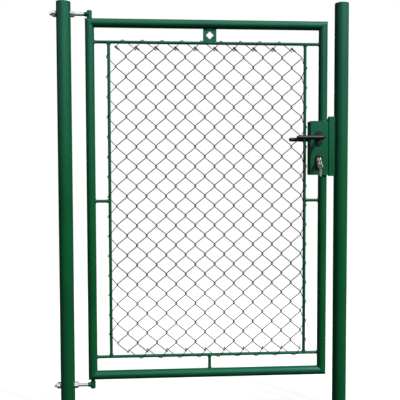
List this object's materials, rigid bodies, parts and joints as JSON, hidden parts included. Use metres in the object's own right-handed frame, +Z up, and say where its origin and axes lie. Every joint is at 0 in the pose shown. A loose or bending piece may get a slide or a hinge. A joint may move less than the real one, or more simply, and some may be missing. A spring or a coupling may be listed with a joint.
{
  "type": "chain link gate",
  "caption": "Pedestrian garden gate: welded round-tube leaf with woven wire mesh, lock case and lever handles, hung on threaded hinges between two round posts.",
  "frame": {"origin": "centre of the hinge post's foot, on the ground", "axes": "+X from the hinge post towards the latch post, +Y away from the front, +Z up along the posts"},
  "size_m": [1.275, 0.172, 1.781],
  "materials": {
    "green_coat": "moss green powder coat, semi-gloss",
    "green_plastic": "moulded green plastic",
    "green_wire": "green plastic-coated wire, satin",
    "zinc": "zinc plated, dull",
    "plated_steel": "plated",
    "black_plastic": "black moulded plastic, satin",
    "brass": "turned brass",
    "nickel": "nickel plated"
  },
  "bodies": {
    "posts": {"hinge_post": "green_coat", "hinge_post_cap": "green_plastic", "latch_post": "green_coat", "latch_post_cap": "green_plastic", "strike_plate": "green_coat", "upper_hinge_rod": "zinc", "upper_hinge_eye": "green_coat", "upper_hinge_nuts": "zinc", "lower_hinge_rod": "zinc", "lower_hinge_eye": "green_coat", "lower_hinge_nuts": "zinc"},
    "leaf": {"top_rail": "green_coat", "bottom_rail": "green_coat", "hinge_stile": "green_coat", "upper_lock_stile": "green_coat", "lower_lock_stile": "green_coat", "top_inner_rod": "green_coat", "bottom_inner_rod": "green_coat", "hinge_side_inner_rod": "green_coat", "lock_side_inner_rod": "green_coat", "hinge_side_strut": "green_coat", "lock_side_strut": "green_coat", "bottom_strut": "green_coat", "spacer_plate": "green_coat", "wire_fabric": "green_wire", "hinge_side_lacing": "green_wire", "lock_side_lacing": "green_wire", "top_lacing": "green_wire", "bottom_lacing": "green_wire", "upper_hinge_pin": "green_coat", "lower_hinge_pin": "green_coat", "lock_case": "green_coat", "latch_bolt": "plated_steel", "dead_bolt": "plated_steel", "front_handle_plate": "black_plastic", "back_handle_plate": "black_plastic", "front_cylinder_plate": "black_plastic", "back_cylinder_plate": "black_plastic", "lock_cylinder": "brass"},
    "handle": {"spindle": "plated_steel", "front_lever": "black_plastic", "back_lever": "black_plastic"},
    "key": {"cylinder_plug": "brass", "key": "nickel"},
    "spare_keys": {"key_ring": "nickel", "spare_key": "nickel"}
  },
  "joints": [
    {"name": "gate_swing", "type": "hinge", "parent": "posts", "child": "leaf", "pos_m": [0.108, 0, 0.149], "axis": [0, 0, 1], "range_deg": [0, 140]},
    {"name": "handle_turn", "type": "hinge", "parent": "leaf", "child": "handle", "pos_m": [1.084, 0, 1.195], "axis": [0, -1, 0], "range_deg": [0, 40], "stiffness_Nm_per_rad": 1.5, "springref_deg": -22.92},
    {"name": "key_turn", "type": "hinge", "parent": "leaf", "child": "key", "pos_m": [1.084, -0.033, 1.101], "axis": [0, -1, 0], "continuous": true},
    {"name": "spare_key_swing", "type": "hinge", "parent": "key", "child": "spare_keys", "pos_m": [1.084, -0.055, 1.101], "axis": [-1, 0, 0], "range_deg": [-10, 60]}
  ]
}
